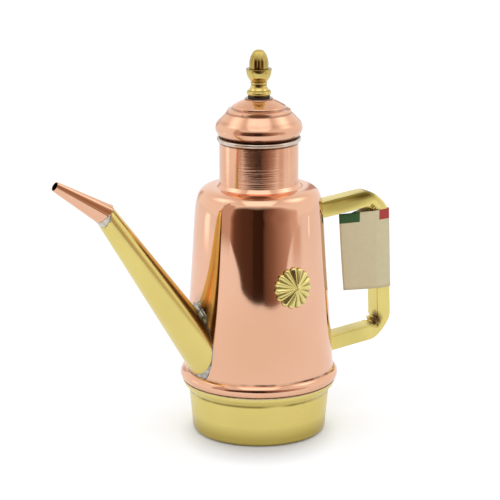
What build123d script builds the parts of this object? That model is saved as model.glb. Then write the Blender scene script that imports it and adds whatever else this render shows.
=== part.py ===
from build123d import *
import os
from math import atan2, cos, radians, sin, sqrt, tan

os.makedirs("parts", exist_ok=True)

# Oil cruet of copper and brass. Lengths are in millimetres, angles in degrees. It stands on
# Z = 0 with its turning axis on Z. The spout leans to -X, the handle is at +X and the rosette
# faces -Y.

# Sheets and fits
copper_sheet = 0.9
cup_sheet = 1.0
spout_sheet = 0.8
handle_sheet = 0.9
solder_gap = 0.05
lid_clearance = 0.35
lid_seat_gap = 0.3
screw_clearance = 0.1
tag_clearance = 0.2
overrun = 6.0

# Base cup
cup_foot_radius = 43.0
cup_foot_round = 2.5
cup_crease_radius = 45.6
cup_crease_height = 25.8
cup_crease_round = 1.2
cup_lip_radius = 49.15
cup_lip_rise = 6.3
cup_lip_depth = 2.6
cup_lip_round = 1.3

# Body and foot bead
spigot_room = 0.6
body_foot_inset = 0.15
body_top_radius = 40.4
body_height = 117.9
shoulder_round = 8.5
crown_angle = 20.0
bead_height = 8.9
bead_lip = 0.3
bead_bulge = 2.35
bead_solder_width = 0.9

# Neck
neck_radius = 25.35
neck_height = 29.3
neck_spigot = 2.5
rim_radius = 1.5
rim_offset = 0.15
neck_solder_width = 0.9

# Spout and nozzle
spout_height = 65.5
spout_angle = 55.2
spout_length = 111.0
spout_root_radius = 13.4
spout_end_radius = 6.8
spout_port_radius = 9.0
nozzle_angle = 32.8
nozzle_length = 39.3
nozzle_base_radius = 7.1
nozzle_tip_radius = 2.9
nozzle_sheet = 0.7
root_solder_width = 1.4
joint_solder_width = 0.6
joint_solder_length = 2.2

# Handle
handle_low_height = 49.3
handle_high_height = 140.8
handle_low_reach = 45.7
handle_high_reach = 49.0
handle_tilt = 5.7
handle_width = 12.4
handle_thickness = 10.4
handle_bend_radius = 12.2
handle_outer_round = 2.6
handle_inner_round = 0.8
handle_solder_width = 1.0

# Rosette
rosette_height = 104.6
rosette_radius = 13.4
rosette_petals = 15
petal_round = 1.3
petal_rise = 2.5
petal_root_radius = 3.4
petal_root_round = 0.4
petal_root_rise = 4.2
valley_round = 1.5
valley_rise = 1.9
rosette_plate = 1.2
rosette_plate_margin = 1.6
rosette_pad_radius = 7.0
rosette_pad = 0.4
rosette_button_radius = 2.4

# Tag
tag_sheet = 0.35
tag_low_height = 83.2
tag_height = 50.8
tag_reach = 24.3
tag_turn = 15.5
tag_flap = 8.0

# Lid
lid_foot_radius = 25.5
lid_edge_radius = 28.2
lid_edge_height = 6.0
lid_edge_round = 2.2
lid_flank_radius = 21.2
lid_flank_height = 15.1
lid_flank_round = 0.5
lid_ledge_radius = 20.0
lid_ledge_height = 17.7
lid_ledge_round = 0.8
lid_step_radius = 17.8
lid_step_height = 18.4
lid_crown_radius = 17.5
lid_crown_height = 19.0
lid_boss_radius = 9.15
lid_boss_foot = 23.0
lid_boss_height = 1.6
lid_boss_round = 0.6
sleeve_sheet = 0.8
sleeve_depth = 14.0
sleeve_lap = 1.0
sleeve_solder_width = 0.9

# Knob and its fasteners, with the knob's heights taken from its own foot
knob_washer_radius = 7.0
knob_washer_height = 1.1
knob_foot_radius = 7.4
knob_foot_bulge = 0.65
knob_waist_radius = 7.2
knob_waist_height = 3.6
knob_stem_hollow = 0.5
knob_stem_radius = 5.1
knob_stem_low = 7.0
knob_stem_high = 9.4
knob_cup_radius = 8.0
knob_cup_belly = 15.4
knob_cup_bulge = 0.6
knob_rim_radius = 8.2
knob_cup_height = 17.7
knob_hole_depth = 11.0
bud_radius = 6.1
bud_wall = 2.8
bud_height = 12.0
bud_tip_radius = 3.2
bud_tip_rise = 0.9
flute_count = 12
flute_radius = 0.75
flute_depth = 0.35
screw_radius = 2.0
screw_end_room = 1.0
screw_head_radius = 3.8
screw_head_height = 2.4
screw_slot_width = 1.0
screw_slot_depth = 1.1
screw_washer_radius = 5.2
screw_washer_height = 0.9


# A face from a closed outline of (radius, height) points, with named corners rounded.
def outline_face(points, rounds):
    face = make_face(Polyline(*points, close=True))
    for corner, radius in rounds.items():
        vertex = face.vertices().sort_by_distance(points[corner])[0]
        face = fillet(vertex, radius)
    return face


# A solid turned about Z from a face drawn as (radius, height).
def turned(face):
    return revolve(Plane.XZ * face, Axis.Z)


# A sheet of even thickness spun about Z, lying inside a half outline that starts and ends on
# the axis.
def spun(points, rounds, sheet):
    half = outline_face(points, rounds)
    hollow = offset(half + mirror(half, about=Plane.YZ), amount=-sheet, kind=Kind.INTERSECTION)
    return turned(half - hollow)


# A drum about Z, and a ring of rectangular section.
def drum(radius, low, high):
    return Pos(0, 0, (low + high) / 2) * Cylinder(radius, high - low)


def ring(inner, outer, low, high):
    return drum(outer, low, high) - drum(inner, low, high)


# A cone and a round rod between two points.
def taper(start, end, start_radius, end_radius):
    axis = end - start
    cone = Cone(start_radius, end_radius, axis.length, align=(Align.CENTER, Align.CENTER, Align.MIN))
    return Plane(origin=start, z_dir=axis) * cone


def rod(start, end, radius):
    axis = end - start
    cylinder = Cylinder(radius, axis.length, align=(Align.CENTER, Align.CENTER, Align.MIN))
    return Plane(origin=start, z_dir=axis) * cylinder


def save(name, shape):
    export_step(shape, os.path.join("parts", name + ".step"))


# Heights that the pieces share, from the table upwards
body_foot = cup_crease_height + cup_lip_rise + cup_lip_depth
body_top = body_foot + body_height
body_foot_radius = cup_lip_radius - body_foot_inset
lean = atan2(body_foot_radius - body_top_radius, body_height)
crown_tilt = radians(crown_angle)
round_centre = Vector(body_top_radius - shoulder_round * cos(lean), body_top - shoulder_round * sin(lean))
crown_foot = round_centre + Vector(sin(crown_tilt), cos(crown_tilt)) * shoulder_round
neck_seam = crown_foot.Y + (crown_foot.X - neck_radius) * tan(crown_tilt)
neck_top = neck_seam + neck_height
lid_seat = neck_top + rim_radius + lid_seat_gap
lid_floor = lid_seat + copper_sheet
lid_top = lid_seat + lid_boss_foot + lid_boss_height
knob_foot = lid_top + knob_washer_height
sleeve_radius = neck_radius + rim_offset - rim_radius - lid_clearance


# Radius of the body's cone at a height.
def body_radius(height):
    return body_foot_radius - (height - body_foot) * tan(lean)


# The body filled solid, its surface lying a depth below the outer face of the sheet.
def body_solid(depth):
    radius = shoulder_round - depth
    low = round_centre + Vector(cos(lean), sin(lean)) * radius
    turn = (lean + radians(90) - crown_tilt) / 2
    middle = round_centre + Vector(cos(turn), sin(turn)) * radius
    high = round_centre + Vector(sin(crown_tilt), cos(crown_tilt)) * radius
    foot = Vector(low.X + (low.Y - body_foot) * tan(lean), body_foot)
    peak = Vector(0, high.Y + high.X * tan(crown_tilt))
    centre = Vector(0, body_foot)
    outline = Polyline(centre, foot, low) + ThreePointArc(low, middle, high) + Polyline(high, peak, centre)
    return turned(make_face(outline))


body_outer = body_solid(0)

# Base cup with its flared lip
cup_points = [
    (0, 0),
    (cup_foot_radius, 0),
    (cup_crease_radius, cup_crease_height),
    (cup_lip_radius, cup_crease_height + cup_lip_rise),
    (cup_lip_radius, body_foot + overrun),
    (0, body_foot + overrun),
]
cup_rounds = {1: cup_foot_round, 2: cup_crease_round, 3: cup_lip_round}
above_cup = drum(cup_lip_radius + overrun, body_foot, body_foot + 2 * overrun)
cup_outer = turned(outline_face(cup_points, cup_rounds)) - above_cup
base_cup = spun(cup_points, cup_rounds, cup_sheet) - above_cup
save("base_cup", base_cup)

# Foot bead over the joint of cup and body
bead_low = Vector(body_foot_radius + bead_lip, body_foot)
bead_high = Vector(body_radius(body_foot + bead_height), body_foot + bead_height)
bead_back = Vector(bead_high.X - copper_sheet, bead_high.Y)
bead_root = Vector(bead_back.X, bead_low.Y)


# The bead filled back to the body's wall, its surface grown by an amount.
def bead_solid(grow):
    low = bead_low + Vector(grow, 0)
    high = bead_high + Vector(grow, grow)
    back = bead_back + Vector(0, grow)
    arc = SagittaArc(low, high, -bead_bulge)
    return turned(make_face(arc + Polyline(high, back, bead_root, low)))


foot_bead = bead_solid(0) - body_outer
save("foot_bead", foot_bead)

bead_fillet = [
    (cup_lip_radius, body_foot),
    (cup_lip_radius + bead_solder_width, body_foot),
    (cup_lip_radius, body_foot - bead_solder_width),
]
save("foot_bead_solder", turned(outline_face(bead_fillet, {})))

# Spout axis, nozzle axis and the mitre between them
spout_way = Vector(-cos(radians(spout_angle)), 0, sin(radians(spout_angle)))
nozzle_way = Vector(-cos(radians(nozzle_angle)), 0, sin(radians(nozzle_angle)))
spout_root = Vector(-body_radius(spout_height), 0, spout_height)
spout_joint = spout_root + spout_way * spout_length
nozzle_end = spout_joint + nozzle_way * nozzle_length
mitre = Plane(origin=spout_joint, z_dir=spout_way + nozzle_way)
root_run = 2 * spout_root_radius
joint_run = 2 * spout_end_radius


# The spout's cone and the nozzle's cone, filled, grown by an amount and cut at the mitre.
def spout_solid(grow):
    slope = (spout_end_radius - spout_root_radius) / spout_length
    start = spout_root - spout_way * root_run
    end = spout_joint + spout_way * joint_run
    start_radius = spout_root_radius - slope * root_run + grow
    end_radius = spout_end_radius + slope * joint_run + grow
    return split(taper(start, end, start_radius, end_radius), mitre, keep=Keep.BOTTOM)


def nozzle_solid(grow):
    slope = (nozzle_tip_radius - nozzle_base_radius) / nozzle_length
    start = spout_joint - nozzle_way * joint_run
    start_radius = nozzle_base_radius - slope * joint_run + grow
    return split(taper(start, nozzle_end, start_radius, nozzle_tip_radius + grow), mitre, keep=Keep.TOP)


spout_filled = spout_solid(0)
nozzle_filled = nozzle_solid(0)
vessel_filled = body_outer + cup_outer + foot_bead
save("spout_tube", spout_filled - spout_solid(-spout_sheet) - vessel_filled)
save("nozzle", nozzle_filled - nozzle_solid(-nozzle_sheet))

root_solder = (spout_solid(root_solder_width) & body_solid(-root_solder_width)) - spout_filled
save("spout_root_solder", root_solder - vessel_filled)

joint_slab = mitre * Box(2 * root_run, 2 * root_run, joint_solder_length)
joint_solder = (spout_solid(joint_solder_width) + nozzle_solid(joint_solder_width)) & joint_slab
save("nozzle_solder", joint_solder - spout_filled - nozzle_filled)

# Body shell: cone, shoulder and the spigot that stands in the cup's lip
spigot_radius = cup_lip_radius - cup_sheet - solder_gap
spigot_low = body_foot - cup_lip_depth + spigot_room
port = rod(spout_root - spout_way * root_run, spout_root + spout_way * root_run, spout_port_radius)
body_shell = body_outer - body_solid(copper_sheet)
body_shell += ring(spigot_radius - copper_sheet, spigot_radius, spigot_low, body_foot + copper_sheet)
body_shell += ring(spigot_radius - copper_sheet, body_foot_radius - copper_sheet / 2, body_foot,
                   body_foot + copper_sheet)
body_shell -= drum(neck_radius + solder_gap, body_top, neck_top)
save("body_shell", body_shell - port)

# Neck, its rim roll and its solder line
neck_tube = ring(neck_radius - copper_sheet, neck_radius, neck_seam - neck_spigot, neck_top)
save("neck_tube", neck_tube)

rim_roll = turned(Pos(neck_radius + rim_offset, neck_top) * Circle(rim_radius)) - neck_tube
save("rim_roll", rim_roll)

neck_fillet = [
    (neck_radius, neck_seam),
    (neck_radius + neck_solder_width, neck_seam - neck_solder_width * tan(crown_tilt)),
    (neck_radius, neck_seam + neck_solder_width),
]
save("neck_solder", turned(outline_face(neck_fillet, {})))

# Handle: a square tube bent to a D, its two arms rising outwards from the body's side
arm_tilt = radians(handle_tilt)
arm_way = Vector(cos(arm_tilt), 0, sin(arm_tilt))
handle_low = Vector(body_radius(handle_low_height), 0, handle_low_height)
handle_high = Vector(body_radius(handle_high_height), 0, handle_high_height)
grip_low = handle_low + arm_way * (handle_low_reach / arm_way.X)
grip_high = handle_high + arm_way * (handle_high_reach / arm_way.X)
handle_start = handle_low - arm_way * overrun
handle_end = handle_high - arm_way * overrun
handle_turns = [(point.X, point.Z) for point in (handle_start, grip_low, grip_high, handle_end)]
handle_path = Plane.XZ * FilletPolyline(*handle_turns, radius=handle_bend_radius)
handle_section = Plane(origin=handle_start, x_dir=(0, 1, 0), z_dir=arm_way)


# The handle filled solid, its surface lying a depth below the outer face of the tube.
def handle_solid(depth):
    side = handle_width / 2 - depth
    rise = handle_thickness / 2 - depth
    corners = [(-side, -rise), (side, -rise), (side, rise), (-side, rise)]
    outer = max(handle_outer_round - depth, solder_gap)
    inner = max(handle_inner_round - depth, solder_gap)
    section = outline_face(corners, {0: outer, 1: outer, 2: inner, 3: inner})
    return sweep(handle_section * section, handle_path)


handle_filled = handle_solid(0)
save("handle", handle_filled - handle_solid(handle_sheet) - vessel_filled)


# Solder round one end of the handle, where its axis meets the body's side.
def handle_solder(foot):
    collar = Box(handle_width + 2 * handle_solder_width, handle_thickness + 2 * handle_solder_width,
                 2 * overrun)
    collar = Plane(origin=foot, x_dir=(0, 1, 0), z_dir=arm_way) * collar
    cover = body_solid(-handle_solder_width) + bead_solid(handle_solder_width)
    return (collar & cover) - vessel_filled - handle_filled


save("handle_low_solder", handle_solder(handle_low))
save("handle_high_solder", handle_solder(handle_high))

# Rosette: a domed flower that follows the body, with valleys cut between its petals
rosette_radius_here = body_radius(rosette_height)
rosette_normal = Vector(0, -cos(lean), sin(lean))
rosette_up = Vector(0, sin(lean), cos(lean))
rosette_centre = Vector(0, -rosette_radius_here, rosette_height)


# A point on the rosette at a turn and a reach from its centre, risen above the body.
def petal_point(turn, reach, rise):
    across = reach * sin(turn)
    fall = rosette_radius_here - sqrt(rosette_radius_here ** 2 - across ** 2)
    foot = rosette_centre + Vector(across, 0, 0) + rosette_up * reach * cos(turn)
    return foot + rosette_normal * (rise - fall)


# A point of the dome's outline as (radius, height), measured along the body's side.
def dome_point(along, rise):
    foot = Vector(rosette_radius_here, rosette_height) + Vector(-sin(lean), cos(lean)) * along
    return foot + Vector(cos(lean), sin(lean)) * rise


def rosette_drum(radius):
    depth = rosette_normal * rosette_radius
    return rod(rosette_centre - depth, rosette_centre + depth, radius)


dome_run = rosette_radius + overrun
dome_edge = petal_root_rise - (petal_root_rise - petal_rise) * (dome_run / rosette_radius) ** 2
dome_low = dome_point(-dome_run, dome_edge)
dome_high = dome_point(dome_run, dome_edge)
dome_back = [dome_point(dome_run, rosette_pad), dome_point(-dome_run, rosette_pad)]
dome_outline = ThreePointArc(dome_low, dome_point(0, petal_root_rise), dome_high)
dome_outline += Polyline(dome_high, *dome_back, dome_low)
rosette = turned(make_face(dome_outline)) & rosette_drum(rosette_radius)
front = rosette_centre + rosette_normal * body_foot_radius
rosette = fillet(rosette.edges().sort_by_distance(front)[0], petal_round)
rosette_floor = body_solid(-rosette_plate) & rosette_drum(rosette_radius - rosette_plate_margin)
for petal in range(rosette_petals):
    turn = radians(360 * (petal + 0.5) / rosette_petals)
    end = petal_point(turn, rosette_radius + petal_round, valley_rise)
    root = petal_point(turn, petal_root_radius, petal_root_rise)
    rosette -= taper(end, root, valley_round, petal_root_round) - rosette_floor
button = petal_point(0, 0, petal_root_rise - rosette_button_radius / 2)
rosette += Pos(*button) * Sphere(rosette_button_radius)
save("rosette", rosette)
rosette_back = body_solid(-rosette_pad)
save("rosette_solder", (rosette_back & rosette_drum(rosette_pad_radius)) - body_outer)

# Paper tag folded round the grip, its free ends stuck together as a flap towards the body
grip_way = (grip_high - grip_low).normalized()
grip_foot = grip_low + grip_way * ((tag_low_height - overrun - grip_low.Z) / grip_way.Z)
tag_plane = Plane(origin=grip_foot, x_dir=Vector(0, 1, 0).cross(grip_way), z_dir=grip_way)
tag_side = handle_width / 2 + tag_clearance
tag_face = handle_thickness / 2 + tag_clearance
tag_corner = Vector(-tag_face, -tag_side)
tag_way = Vector(-cos(radians(tag_turn)), sin(radians(tag_turn)))
tag_edge = Vector(-tag_way.Y, tag_way.X) * tag_sheet
tag_join = tag_corner + tag_way * (tag_reach - tag_flap)
tag_end = tag_corner + tag_way * tag_reach
tag_points = [tag_join, tag_corner, (tag_face, -tag_side), (tag_face, tag_side), (-tag_face, tag_side)]
tag_inside = outline_face(tag_points, {2: handle_outer_round, 3: handle_outer_round})
tag_flap_points = (tag_join + tag_edge, tag_end + tag_edge, tag_end - tag_edge, tag_join - tag_edge)
tag_section = offset(tag_inside, amount=tag_sheet) + make_face(Polyline(*tag_flap_points, close=True))
tag_loop = extrude(tag_plane * (tag_section - tag_inside), tag_height + 2 * overrun)
tag_reach_out = grip_low.X + handle_width + overrun
save("tag", tag_loop & drum(tag_reach_out, tag_low_height, tag_low_height + tag_height))

# Lid dome, the sleeve that slips into the neck and the solder that joins them
lid_points = [
    (0, lid_seat),
    (lid_foot_radius, lid_seat),
    (lid_edge_radius, lid_seat + lid_edge_height),
    (lid_flank_radius, lid_seat + lid_flank_height),
    (lid_ledge_radius, lid_seat + lid_ledge_height),
    (lid_step_radius, lid_seat + lid_step_height),
    (lid_crown_radius, lid_seat + lid_crown_height),
    (lid_boss_radius, lid_seat + lid_boss_foot),
    (lid_boss_radius, lid_top),
    (0, lid_top),
]
lid_rounds = {2: lid_edge_round, 3: lid_flank_round, 4: lid_ledge_round, 8: lid_boss_round}
lid_dome = spun(lid_points, lid_rounds, copper_sheet)
lid_dome -= drum(sleeve_radius + solder_gap, lid_seat - overrun, lid_floor)
lid_dome -= drum(screw_radius + screw_clearance, lid_top - overrun, lid_top)
save("lid_dome", lid_dome)

sleeve_top = lid_floor + sleeve_lap
save("lid_sleeve", ring(sleeve_radius - sleeve_sheet, sleeve_radius, lid_seat - sleeve_depth, sleeve_top))

sleeve_fillet = [
    (sleeve_radius, lid_floor),
    (sleeve_radius + sleeve_solder_width, lid_floor),
    (sleeve_radius, sleeve_top),
]
save("lid_sleeve_solder", turned(outline_face(sleeve_fillet, {})))

# Knob on the lid: washer, turned stem and cup, and a fluted bud
save("knob_washer", ring(screw_radius + screw_clearance, knob_washer_radius, lid_top, knob_foot))

waist = Vector(knob_waist_radius, knob_waist_height)
stem_low = Vector(knob_stem_radius, knob_stem_low)
stem_high = Vector(knob_stem_radius, knob_stem_high)
belly = Vector(knob_cup_radius, knob_cup_belly)
bud_foot = Vector(bud_radius, knob_cup_height)
bud_side = Vector(bud_radius, knob_cup_height + bud_wall)
bud_neck = Vector(bud_tip_radius, knob_cup_height + bud_height - bud_tip_rise)
bud_tip = Vector(0, knob_cup_height + bud_height)
knob_outline = Polyline((0, 0), (knob_foot_radius, 0))
knob_outline += SagittaArc((knob_foot_radius, 0), waist, -knob_foot_bulge)
knob_outline += SagittaArc(waist, stem_low, knob_stem_hollow)
knob_outline += Line(stem_low, stem_high)
knob_outline += SagittaArc(stem_high, belly, -knob_cup_bulge)
knob_outline += Polyline(belly, (knob_rim_radius, knob_cup_height), bud_foot, bud_side)
knob_outline += TangentArc(bud_side, bud_neck, tangent=(0, 1))
knob_outline += TangentArc(bud_tip, bud_neck, tangent=(1, 0))
knob_outline += Line(bud_tip, (0, 0))
knob = Pos(0, 0, knob_foot) * turned(make_face(knob_outline))
knob -= drum(screw_radius + solder_gap, knob_foot, knob_foot + knob_hole_depth)

flute_shift = Vector(flute_radius - flute_depth, 0)
flute_low = bud_foot + flute_shift
flute_path = Line(flute_low, bud_side + flute_shift)
flute_path += TangentArc(bud_side + flute_shift, bud_neck + flute_shift, tangent=(0, 1))
flute_section = Plane(origin=(flute_low.X, 0, flute_low.Y)) * Circle(flute_radius)
flute = Pos(0, 0, knob_foot) * sweep(flute_section, Plane.XZ * flute_path)
for turn in range(flute_count):
    knob -= Rot(0, 0, 360 * turn / flute_count) * flute
save("knob", knob)

# Screw that holds the knob from inside the lid
washer_high = lid_top - copper_sheet
washer_low = washer_high - screw_washer_height
head_low = washer_low - screw_head_height
save("screw_washer", ring(screw_radius + screw_clearance, screw_washer_radius, washer_low, washer_high))
knob_screw = drum(screw_head_radius, head_low, washer_low)
knob_screw += drum(screw_radius, washer_low, knob_foot + knob_hole_depth - screw_end_room)
slot = Box(2 * screw_head_radius, screw_slot_width, 2 * screw_slot_depth)
save("knob_screw", knob_screw - Pos(0, 0, head_low) * slot)
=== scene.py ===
import bpy
import math
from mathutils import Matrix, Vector, noise


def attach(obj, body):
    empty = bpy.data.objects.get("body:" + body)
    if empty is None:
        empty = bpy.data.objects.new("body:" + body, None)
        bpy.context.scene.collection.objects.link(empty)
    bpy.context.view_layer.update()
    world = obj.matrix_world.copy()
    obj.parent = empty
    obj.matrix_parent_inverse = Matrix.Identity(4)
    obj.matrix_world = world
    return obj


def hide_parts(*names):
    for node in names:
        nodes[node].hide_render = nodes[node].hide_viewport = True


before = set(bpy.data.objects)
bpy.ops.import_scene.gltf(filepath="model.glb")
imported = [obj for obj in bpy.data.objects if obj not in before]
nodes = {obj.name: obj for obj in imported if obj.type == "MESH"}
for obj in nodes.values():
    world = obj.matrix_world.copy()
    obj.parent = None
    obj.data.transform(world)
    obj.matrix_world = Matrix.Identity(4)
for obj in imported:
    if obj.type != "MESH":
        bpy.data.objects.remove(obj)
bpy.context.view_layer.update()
mm = 0.001
fullTurn = 2 * math.pi
sharpOver = 32  # corners that turn by more degrees stay sharp
print("cruet frame loaded,", len(nodes), "nodes")

# shared lines of the cruet, millimetres as in the solids
cruet = {
    "bodyFoot": 34.7, "bodyTop": 152.6, "footRadius": 49.0, "topRadius": 40.4,
    "shoulderRound": 8.5, "crownAngle": 20.0, "sheet": 0.9,
    "neckRadius": 25.35, "neckHeight": 29.3, "rimRadius": 1.5,
    "lidGap": 0.3, "lidRise": 24.6, "washerHeight": 1.1,
}
lean = math.atan2(cruet["footRadius"] - cruet["topRadius"], cruet["bodyTop"] - cruet["bodyFoot"])
crown = math.radians(cruet["crownAngle"])
roundX = cruet["topRadius"] - cruet["shoulderRound"] * math.cos(lean)
roundZ = cruet["bodyTop"] - cruet["shoulderRound"] * math.sin(lean)
crownX = roundX + cruet["shoulderRound"] * math.sin(crown)
crownZ = roundZ + cruet["shoulderRound"] * math.cos(crown)
neckSeam = crownZ + (crownX - cruet["neckRadius"]) * math.tan(crown)
neckTop = neckSeam + cruet["neckHeight"]
lidSeat = neckTop + cruet["rimRadius"] + cruet["lidGap"]
lidTop = lidSeat + cruet["lidRise"]
knobFoot = lidTop + cruet["washerHeight"]


def linked(name, data):
    thing = bpy.data.objects.new(name, data)
    bpy.context.scene.collection.objects.link(thing)
    return thing


# camera at the photo's place: metres, degrees, and millimetres for lens and sensor
view = {"target": (0, 0, 0.1192), "turn": -30.0, "pitch": 14.8, "far": 1.451, "lens": 162.0,
        "sensor": 36.0, "shift": -0.0178, "clip": 30}
viewTurn, viewPitch = math.radians(view["turn"]), math.radians(view["pitch"])
flatAim = Vector((-math.sin(viewTurn), math.cos(viewTurn), 0))
rightWay = Vector((flatAim.y, -flatAim.x, 0))
aim = flatAim * math.cos(viewPitch) - Vector((0, 0, math.sin(viewPitch)))
eye = linked("photoCamera", bpy.data.cameras.new("photoCamera"))
eye.data.lens = view["lens"]
eye.data.sensor_width = view["sensor"]
eye.data.shift_x = view["shift"]
eye.data.clip_end = view["clip"]
eye.location = Vector(view["target"]) - aim * view["far"]
eye.rotation_euler = aim.to_track_quat("-Z", "Y").to_euler()
bpy.context.scene.camera = eye
frontTurn = (0, 0, viewTurn - math.pi / 2)  # turns a mark's X towards the photo's side
print("camera set")


def bodyRadius(z):  # outer face of the leaning side
    return cruet["footRadius"] - (z - cruet["bodyFoot"]) * math.tan(lean)


def within(value):  # held between 0 and 1
    return max(0, min(1, value))


def ringNoise(turn, size, level):  # smooth noise that closes round the axis
    return noise.noise(Vector((math.cos(turn) * size, math.sin(turn) * size, level)))


# small mesh helpers

def makePiece(name, node, body, verts, faces, sharp=()):
    mesh = bpy.data.meshes.new(name)
    mesh.from_pydata([(x * mm, y * mm, z * mm) for x, y, z in verts], [], faces)
    mesh.validate()
    mesh.update()
    mesh.shade_smooth()
    marks = {frozenset(ends) for ends in sharp}
    for edge in mesh.edges:
        edge.use_edge_sharp = frozenset(edge.vertices) in marks
    piece = linked(name, mesh)
    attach(piece, body)
    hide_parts(node)
    return piece


def dress(piece, finish):
    piece.data.materials.append(finish)


def arcLine(middle, start, end, steps):  # arc round middle from start to end
    a, b = start - middle, end - middle
    turn = a.angle(b)
    return [middle + (a * math.sin((1 - t) * turn) + b * math.sin(t * turn)) / math.sin(turn)
            for t in (k / steps for k in range(steps + 1))]


def roundedLine(points, steps=7, reach=0.0):
    # points are (r, z) or (r, z, corner radius); long runs are cut to reach
    line = []
    last = len(points) - 1
    for i, p in enumerate(points):
        here = Vector(p[:2])
        radius = p[2] if len(p) > 2 else 0.0
        if radius <= 0 or i in (0, last):
            line.append(here)
            continue
        before = (Vector(points[i - 1][:2]) - here).normalized()
        after = (Vector(points[i + 1][:2]) - here).normalized()
        half = before.angle(after) / 2
        run = radius / math.tan(half)
        middle = here + (before + after).normalized() * (radius / math.sin(half))
        line += arcLine(middle, here + before * run, here + after * run, steps)
    if reach <= 0:
        return line
    fine = [line[0]]
    for p in line[1:]:
        q = fine[-1]
        count = max(1, math.ceil((p - q).length / reach))
        fine += [q.lerp(p, (k + 1) / count) for k in range(count)]
    return fine


def bulgeLine(a, b, rise, steps):
    # arc from a to b that stands out by rise on the right of the way from a to b
    a, b = Vector(a), Vector(b)
    half = (b - a).length / 2
    side = Vector((b.y - a.y, a.x - b.x)).normalized()
    radius = (half * half + rise * rise) / (2 * abs(rise))
    middle = (a + b) / 2 - side * math.copysign(radius - abs(rise), rise)
    out = side if rise > 0 else -side
    turn = math.asin(min(1.0, half / radius))
    along = (b - a).normalized()
    return [middle + (out * math.cos(t) + along * math.sin(t)) * radius
            for t in (-turn + 2 * turn * k / steps for k in range(steps + 1))]


def pulledLine(a, b, c, d, steps):  # cubic curve from a to d, pulled by b and c
    a, b, c, d = Vector(a), Vector(b), Vector(c), Vector(d)
    return [a * (1 - t) ** 3 + b * 3 * t * (1 - t) ** 2 + c * 3 * t * t * (1 - t) + d * t ** 3
            for t in (k / steps for k in range(steps + 1))]


def sheetLoop(outer, sheet):
    # closed section of a sheet that lies to the left of the outer line
    inner = []
    for i, p in enumerate(outer):
        a = outer[max(i - 1, 0)]
        b = outer[min(i + 1, len(outer) - 1)]
        ways = [w.normalized() for w in (p - a, b - p) if w.length > 1e-9]
        sides = [Vector((-w.y, w.x)) for w in ways]
        side = sum(sides, Vector((0, 0))).normalized()
        inner.append(p + side * (sheet / max(0.5, side.dot(sides[0]))))
    return [*outer, *reversed(inner)]


def lathe(name, node, body, loop, wobble=None, segments=224, bend=sharpOver):
    # turns a closed loop of (r, z) about Z; corners over bend degrees stay sharp
    loop = [p for i, p in enumerate(loop) if (p - loop[i - 1]).length > 1e-6]
    verts, rows, faces, sharp = [], [], [], []
    for r, z in loop:
        if r < 1e-5:
            rows.append([len(verts)])
            verts.append((0, 0, z))
            continue
        rows.append(list(range(len(verts), len(verts) + segments)))
        for k in range(segments):
            turn = fullTurn * k / segments
            far = r + (wobble(turn, r, z) if wobble else 0)
            verts.append((far * math.cos(turn), far * math.sin(turn), z))
    count = len(loop)
    for i in range(count):
        a, b = rows[i], rows[(i + 1) % count]
        if len(a) == 1 and len(b) == 1:
            continue
        for k in range(segments):
            m = (k + 1) % segments
            if len(a) == 1:
                faces.append((a[0], b[m], b[k]))
            elif len(b) == 1:
                faces.append((a[k], a[m], b[0]))
            else:
                faces.append((a[k], a[m], b[m], b[k]))
        before, after = loop[i] - loop[i - 1], loop[(i + 1) % count] - loop[i]
        if len(a) > 1 and before.angle(after, 0) > math.radians(bend):
            sharp += [(a[k], a[(k + 1) % segments]) for k in range(segments)]
    return makePiece(name, node, body, verts, faces, sharp)


def rowsOf(count, size):  # vertex numbers, ring by ring
    return [list(range(i * size, (i + 1) * size)) for i in range(count)]


def skin(rows):  # faces over rows of equal length, each row a ring
    size = len(rows[0])
    return [(low[k], low[(k + 1) % size], high[(k + 1) % size], high[k])
            for low, high in zip(rows, rows[1:]) for k in range(size)]


def flipped(faces):
    return [tuple(reversed(f)) for f in faces]


# material helpers

def startFinish(name):
    mat = bpy.data.materials.new(name)
    mat.use_nodes = True
    tree = mat.node_tree
    return mat, tree, tree.nodes["Principled BSDF"]


def feed(tree, socket, value):  # a socket takes a link or a constant
    if hasattr(value, "is_linked"):
        tree.links.new(value, socket)
    else:
        socket.default_value = value


def addNode(tree, kind, **values):
    node = tree.nodes.new("ShaderNode" + kind)
    for key, value in values.items():
        if hasattr(node, key):
            setattr(node, key, value)
        else:
            feed(tree, node.inputs[key.replace("_", " ")], value)
    return node


def addMath(tree, operation, *values, kind="Math"):
    node = addNode(tree, kind, operation=operation)
    for socket, value in zip(node.inputs, values):
        feed(tree, socket, value)
    return node.outputs["Value"]


def addMix(tree, kind, *values):  # joins shaders
    node = addNode(tree, kind)
    for socket, value in zip(node.inputs, values):
        feed(tree, socket, value)
    return node.outputs["Shader"]


def objectPlace(tree):
    return addNode(tree, "TexCoord").outputs["Object"]


def axesOf(tree, place):
    return addNode(tree, "SeparateXYZ", Vector=place).outputs


def placedNoise(tree, scale, detail, turn=(0, 0, 0)):
    fit = addNode(tree, "Mapping", Vector=objectPlace(tree), Rotation=turn, Scale=scale)
    grain = addNode(tree, "TexNoise", Vector=fit.outputs["Vector"], Scale=1.0, Detail=detail, Roughness=0.55)
    return grain.outputs["Fac"]


def spread(tree, source, low, high, fromLow=0.3, fromHigh=0.7):
    fit = addNode(tree, "MapRange", Value=source, From_Min=fromLow, From_Max=fromHigh,
                  To_Min=low, To_Max=high)
    return fit.outputs["Result"]


def mixTone(tree, share, first, second):
    mix = addNode(tree, "Mix", data_type="RGBA")
    feed(tree, mix.inputs[0], share)
    for socket, tone in ((mix.inputs[6], first), (mix.inputs[7], second)):
        feed(tree, socket, tone if hasattr(tone, "is_linked") else (*tone, 1))
    return mix.outputs[2]


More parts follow.
